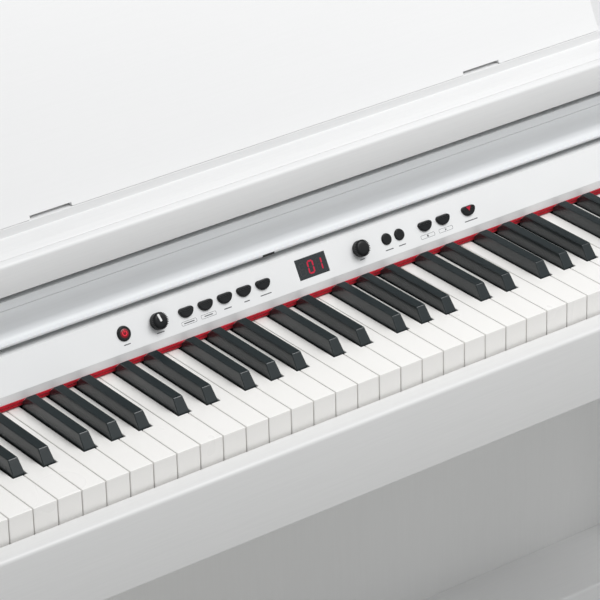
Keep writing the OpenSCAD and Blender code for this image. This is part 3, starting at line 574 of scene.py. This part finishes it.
def segment(title):
    """The six-sided outline of one bar of a digit whose middle is at 0, 0."""
    side, level, kind = SEGMENTS[title]
    x, y = side * DIGIT_W / 2, level * DIGIT_H / 2
    half = (DIGIT_W if kind == "flat" else DIGIT_H / 2) / 2 - 0.15
    t = BAR / 2
    shape = [(half, 0), (half - t, t), (-half + t, t), (-half, 0), (-half + t, -t), (half - t, -t)]
    if kind == "tall":
        shape = [(-b, a) for a, b in shape]
    return [(x + a + DIGIT_LEAN * (y + b), y + b) for a, b in shape]


for lit, material, name in ((True, lit_red, "display_lit_digits"),
                            (False, unlit_red, "display_unlit_digits")):
    form = bmesh.new()
    for place in LIT:
        for title in SEGMENTS:
            if (title in LIT[place]) == lit:
                spot = on_panel((DIGIT_X + (place - 1) * DIGIT_PITCH) * MM, DIGIT_UP * MM, -0.3 * MM)
                prism(form, segment(title), spot, -0.1, 0.06 if lit else 0.04)
    piece_of(form, name, material, "root")

# Printed marks under the controls: plain bars, frames, a dot and a triangle
MARK_UP = -9.9
BAR_H = 0.9
FRAME_W, FRAME_H, LINE = 16.0, 3.6, 0.28
BARS = {"power_button": 7.0, "volume_knob": 8.0, "mode_button_3": 8.0, "mode_button_4": 6.0,
        "mode_button_5": 12.0, "data_knob": 5.5, "function_button": 9.0, "select_button": 8.0,
        "piano_button": 15.0}
FRAMED = ("mode_button_1", "mode_button_2", "record_button", "play_button")
form = bmesh.new()
for node, width in BARS.items():
    prism(form, oblong(width, BAR_H, corner=0.4), on_panel(middle(node) * MM, MARK_UP * MM, 0), -INK, INK)
for node in FRAMED:
    spot = on_panel(middle(node) * MM, MARK_UP * MM, 0)
    hollow_prism(form, oblong(FRAME_W, FRAME_H, corner=1.0),
                 oblong(FRAME_W - 2 * LINE, FRAME_H - 2 * LINE, corner=1.0 - LINE), spot, -INK, INK)
for node, width in (("mode_button_1", 11.0), ("mode_button_2", 9.0)):
    prism(form, oblong(width, BAR_H, corner=0.4), on_panel(middle(node) * MM, MARK_UP * MM, 0), -INK, INK)
prism(form, round_dot(1.0), on_panel(middle("record_button") * MM, MARK_UP * MM, 0), -INK, INK)
prism(form, [(-0.9, -1.1), (1.1, 0), (-0.9, 1.1)],
      on_panel(middle("play_button") * MM, MARK_UP * MM, 0), -INK, INK)
piece_of(form, "panel_printed_marks", print_grey, "root")

# Power button: a ring around a domed red lens with the plain on mark
LENS_R, LENS_RISE = 4.3, 0.45
POWER_X = middle("power_button")
POWER_FACE = 1.6


def dome(form, radius, rise, place, foot, rings=5, steps=32):
    """A shallow closed dome on a round foot, in millimetres."""
    loops = []
    for i in range(rings):
        turn = math.pi / 2 * i / rings
        loops.append([form.verts.new(place @ Vector((
            radius * math.cos(turn) * math.cos(2 * math.pi * j / steps) * MM,
            radius * math.cos(turn) * math.sin(2 * math.pi * j / steps) * MM,
            (foot + rise * math.sin(turn)) * MM))) for j in range(steps)])
    top = form.verts.new(place @ Vector((0, 0, (foot + rise) * MM)))
    form.faces.new(loops[0][::-1])
    for inner, outer in zip(loops[1:], loops):
        for j in range(steps):
            k = (j + 1) % steps
            form.faces.new((outer[j], outer[k], inner[k], inner[j]))
    for j in range(steps):
        form.faces.new((loops[-1][j], loops[-1][(j + 1) % steps], top))


def arc_band(radius, width, start, end, steps=18):
    """The outline of a curved band, anticlockwise, in millimetres."""
    angles = [math.radians(start + (end - start) * i / steps) for i in range(steps + 1)]
    outer = [((radius + width / 2) * math.cos(a), (radius + width / 2) * math.sin(a)) for a in angles]
    inner = [((radius - width / 2) * math.cos(a), (radius - width / 2) * math.sin(a)) for a in angles]
    return outer + inner[::-1]


form = bmesh.new()
dome(form, LENS_R, LENS_RISE, on_panel(POWER_X * MM, 0, POWER_FACE * MM), -0.1)
piece_of(form, "power_button_lens", lamp_red, "power_button", smooth=math.radians(40))
form = bmesh.new()
spot = on_panel(POWER_X * MM, 0, POWER_FACE * MM)
prism(form, arc_band(2.1, 0.7, 125, 415), spot, LENS_RISE - 0.35, LENS_RISE - 0.02)
prism(form, oblong(0.7, 2.4, y=1.9, corner=0.3), spot, LENS_RISE - 0.35, LENS_RISE + 0.02)
piece_of(form, "power_button_mark", lamp_mark, "power_button")

# Volume pointer, and the lamp in the piano button
KNOB_TOP = 7.5
form = bmesh.new()
pointer = on_panel(middle("volume_knob") * MM, 0, 0) @ Matrix.Rotation(math.radians(12), 4, "Z")
prism(form, oblong(2.1, 7.0, y=2.8, corner=0.5), pointer, KNOB_TOP - 0.3, KNOB_TOP + 0.08)
piece_of(form, "volume_knob_pointer", mark_white, "volume_knob")
BUTTON_FACE = 2.4
form = bmesh.new()
prism(form, [(0, -2.0), (2.7, 2.1), (-2.7, 2.1)],
      on_panel(middle("piano_button") * MM, 0.9 * MM, BUTTON_FACE * MM), -0.2, 0.08)
piece_of(form, "piano_button_lamp", lamp_triangle, "piano_button")

# Grip ribs round both knobs
def make_rib_ring():
    """A ring of upright ribs in the panel's frame, made real and given its finish."""
    tree = bpy.data.node_groups.new("rib_ring", "GeometryNodeTree")
    for title, kind in (("Ribs", "Int"), ("Ring", "Float"), ("Thick", "Float"), ("Tall", "Float"),
                        ("Place", "Vector"), ("Tilt", "Vector"), ("Finish", "Material")):
        tree.interface.new_socket(title, in_out="INPUT", socket_type="NodeSocket" + kind)
    tree.interface.new_socket("Geometry", in_out="OUTPUT", socket_type="NodeSocketGeometry")
    given = tree.nodes.new("NodeGroupInput").outputs
    ring = add(tree, "GeometryNodeMeshCircle", {
        "Vertices": given["Ribs"], "Radius": given["Ring"]}).outputs[0]
    rib = add(tree, "GeometryNodeMeshCylinder", {
        "Vertices": 10, "Radius": given["Thick"], "Depth": given["Tall"]}).outputs[0]
    copies = add(tree, "GeometryNodeInstanceOnPoints", {"Points": ring, "Instance": rib}).outputs[0]
    placed = add(tree, "GeometryNodeTransform", {
        "Geometry": copies, "Translation": given["Place"], "Rotation": given["Tilt"]}).outputs[0]
    real = add(tree, "GeometryNodeRealizeInstances", {"Geometry": placed}).outputs[0]
    coated = add(tree, "GeometryNodeSetMaterial", {
        "Geometry": real, "Material": given["Finish"]}).outputs[0]
    tree.links.new(coated, tree.nodes.new("NodeGroupOutput").inputs[0])
    return tree


RIB_RING = make_rib_ring()
RIB_THICK = 0.36 * MM
RIB_FOOT, RIB_TOP = 0.7 * MM, 6.9 * MM
RIB_COUNT = 30
RIB_SUNK = 0.7  # the share of a rib's radius that its middle lies inside the knob


def grip_ribs(node):
    """Ribs sunk into a knob's side, as one piece that turns with it."""
    low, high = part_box(node)
    values = {"Ribs": RIB_COUNT, "Ring": (high.x - low.x) / 2 - RIB_SUNK * RIB_THICK, "Thick": RIB_THICK,
              "Tall": RIB_TOP - RIB_FOOT, "Finish": control_black,
              "Place": on_panel(middle(node) * MM, 0, (RIB_FOOT + RIB_TOP) / 2).translation,
              "Tilt": (PANEL_TILT, 0, 0)}
    maker = bpy.data.objects.new("rib maker", bpy.data.meshes.new("rib maker"))
    bpy.context.scene.collection.objects.link(maker)
    ring = maker.modifiers.new("rib ring", "NODES")
    ring.node_group = RIB_RING
    for item in RIB_RING.interface.items_tree:
        if item.in_out == "INPUT":
            ring[item.identifier] = values[item.name]
    seen = maker.evaluated_get(bpy.context.evaluated_depsgraph_get())
    mesh = bpy.data.meshes.new_from_object(seen)
    bpy.data.objects.remove(maker)
    mesh.shade_smooth()
    mesh.set_sharp_from_angle(angle=math.radians(50))
    stand(node + "_grip_ribs", mesh, control_black, node)


grip_ribs("volume_knob")
grip_ribs("data_knob")

# Rubber bumper round the lower edge of the fallboard's lip
lip_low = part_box("fallboard")[0]
BUMPER_X = (-47.0, -33.5)
BUMPER_DEEP, BUMPER_IN = 2.7, 1.0
form = bmesh.new()
spot = Matrix.Translation((sum(BUMPER_X) / 2 * MM, lip_low.y + BUMPER_IN * MM, lip_low.z))
prism(form, oblong(BUMPER_X[1] - BUMPER_X[0], BUMPER_DEEP, corner=1.2), spot, -0.6, 1.3)
piece_of(form, "fallboard_bumper", rubber, "fallboard")

# --------------------------------------------------------------------------- light and floor
def soft_box(name, place, target, size, watts, colour=(1, 1, 1)):
    """A square soft light at place that faces target."""
    data = bpy.data.lights.new(name, "AREA")
    data.shape = "SQUARE"
    data.size = size
    data.energy = watts
    data.color = colour
    light = bpy.data.objects.new(name, data)
    light.matrix_world = (Matrix.Translation(place)
                          @ (Vector(target) - Vector(place)).to_track_quat("-Z", "Y").to_matrix().to_4x4())
    bpy.context.scene.collection.objects.link(light)


soft_box("overhead soft light", (1.0, -1.5, 3.6), (0, 0, 0.8), 2.2, 84)
soft_box("right front soft light", (3.2, -1.6, 2.4), (0.2, 0, 0.8), 1.6, 10)

world = bpy.data.worlds.new("studio")
world.use_nodes = True
backdrop = world.node_tree.nodes["Background"]
backdrop.inputs["Color"].default_value = (0.97, 0.985, 1.0, 1)
backdrop.inputs["Strength"].default_value = 0.40
bpy.context.scene.world = world

FLOOR_HALF = 14.0
form = bmesh.new()
bmesh.ops.create_grid(form, x_segments=4, y_segments=4, size=FLOOR_HALF)
floor_mesh = bpy.data.meshes.new("floor")
form.to_mesh(floor_mesh)
form.free()
floor_paint = surface("pale_floor", MOULDED_SKIN, {
    "Plastic": (0.62, 0.62, 0.61, 1), "Flow": (0.60, 0.60, 0.59, 1), "Fineness": 60.0, "Sheen": 0.7},
    (0.02, 0.1 * MM), {})
floor_mesh.materials.append(floor_paint)
floor = bpy.data.objects.new("floor", floor_mesh)
bpy.context.scene.collection.objects.link(floor)
